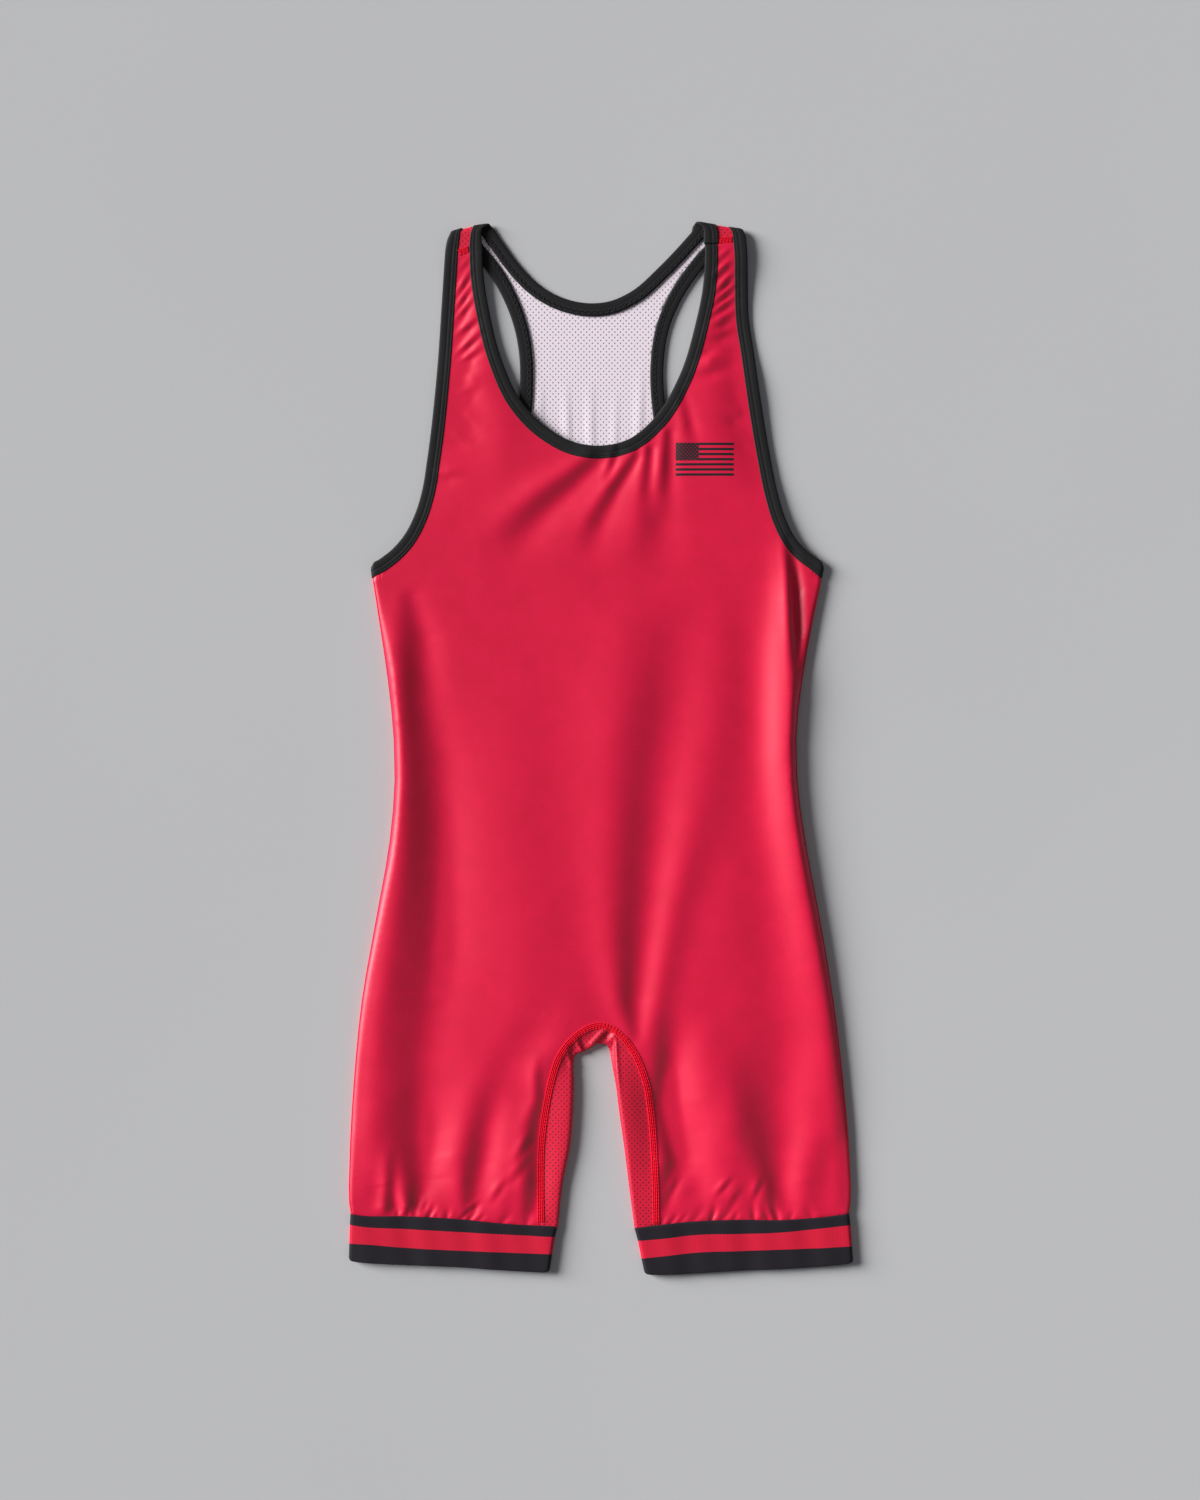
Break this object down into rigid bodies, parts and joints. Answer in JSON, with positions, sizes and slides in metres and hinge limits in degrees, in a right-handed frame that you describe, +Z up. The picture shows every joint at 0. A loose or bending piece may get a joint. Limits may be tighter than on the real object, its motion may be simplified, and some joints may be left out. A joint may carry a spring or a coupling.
{
  "type": "wrestling singlet",
  "caption": "Sleeveless wrestling singlet laid flat on its back, with a scoop neck, racerback, bound edges, short legs, arched crotch gusset and elastic leg cuffs.",
  "frame": {"origin": "centre of the garment's box in plan, on the surface that it lies on", "axes": "+Y from the legs to the shoulders, +X to the wearer's left, +Z up out of the surface, the front facing up"},
  "size_m": [0.4034, 0.8404, 0.0082],
  "materials": {
    "red_cloth": "satin stretch knit",
    "mesh_cloth": "perforated stretch mesh",
    "cuff_elastic": "matte knitted elastic",
    "binding_tape": "matte folded elastic"
  },
  "bodies": {
    "root": {"front_panel": "red_cloth", "back_panel": "mesh_cloth", "gusset": "mesh_cloth", "cuff_left": "cuff_elastic", "cuff_right": "cuff_elastic", "neck_binding": "binding_tape", "armhole_binding_left": "binding_tape", "armhole_binding_right": "binding_tape"}
  },
  "joints": []
}
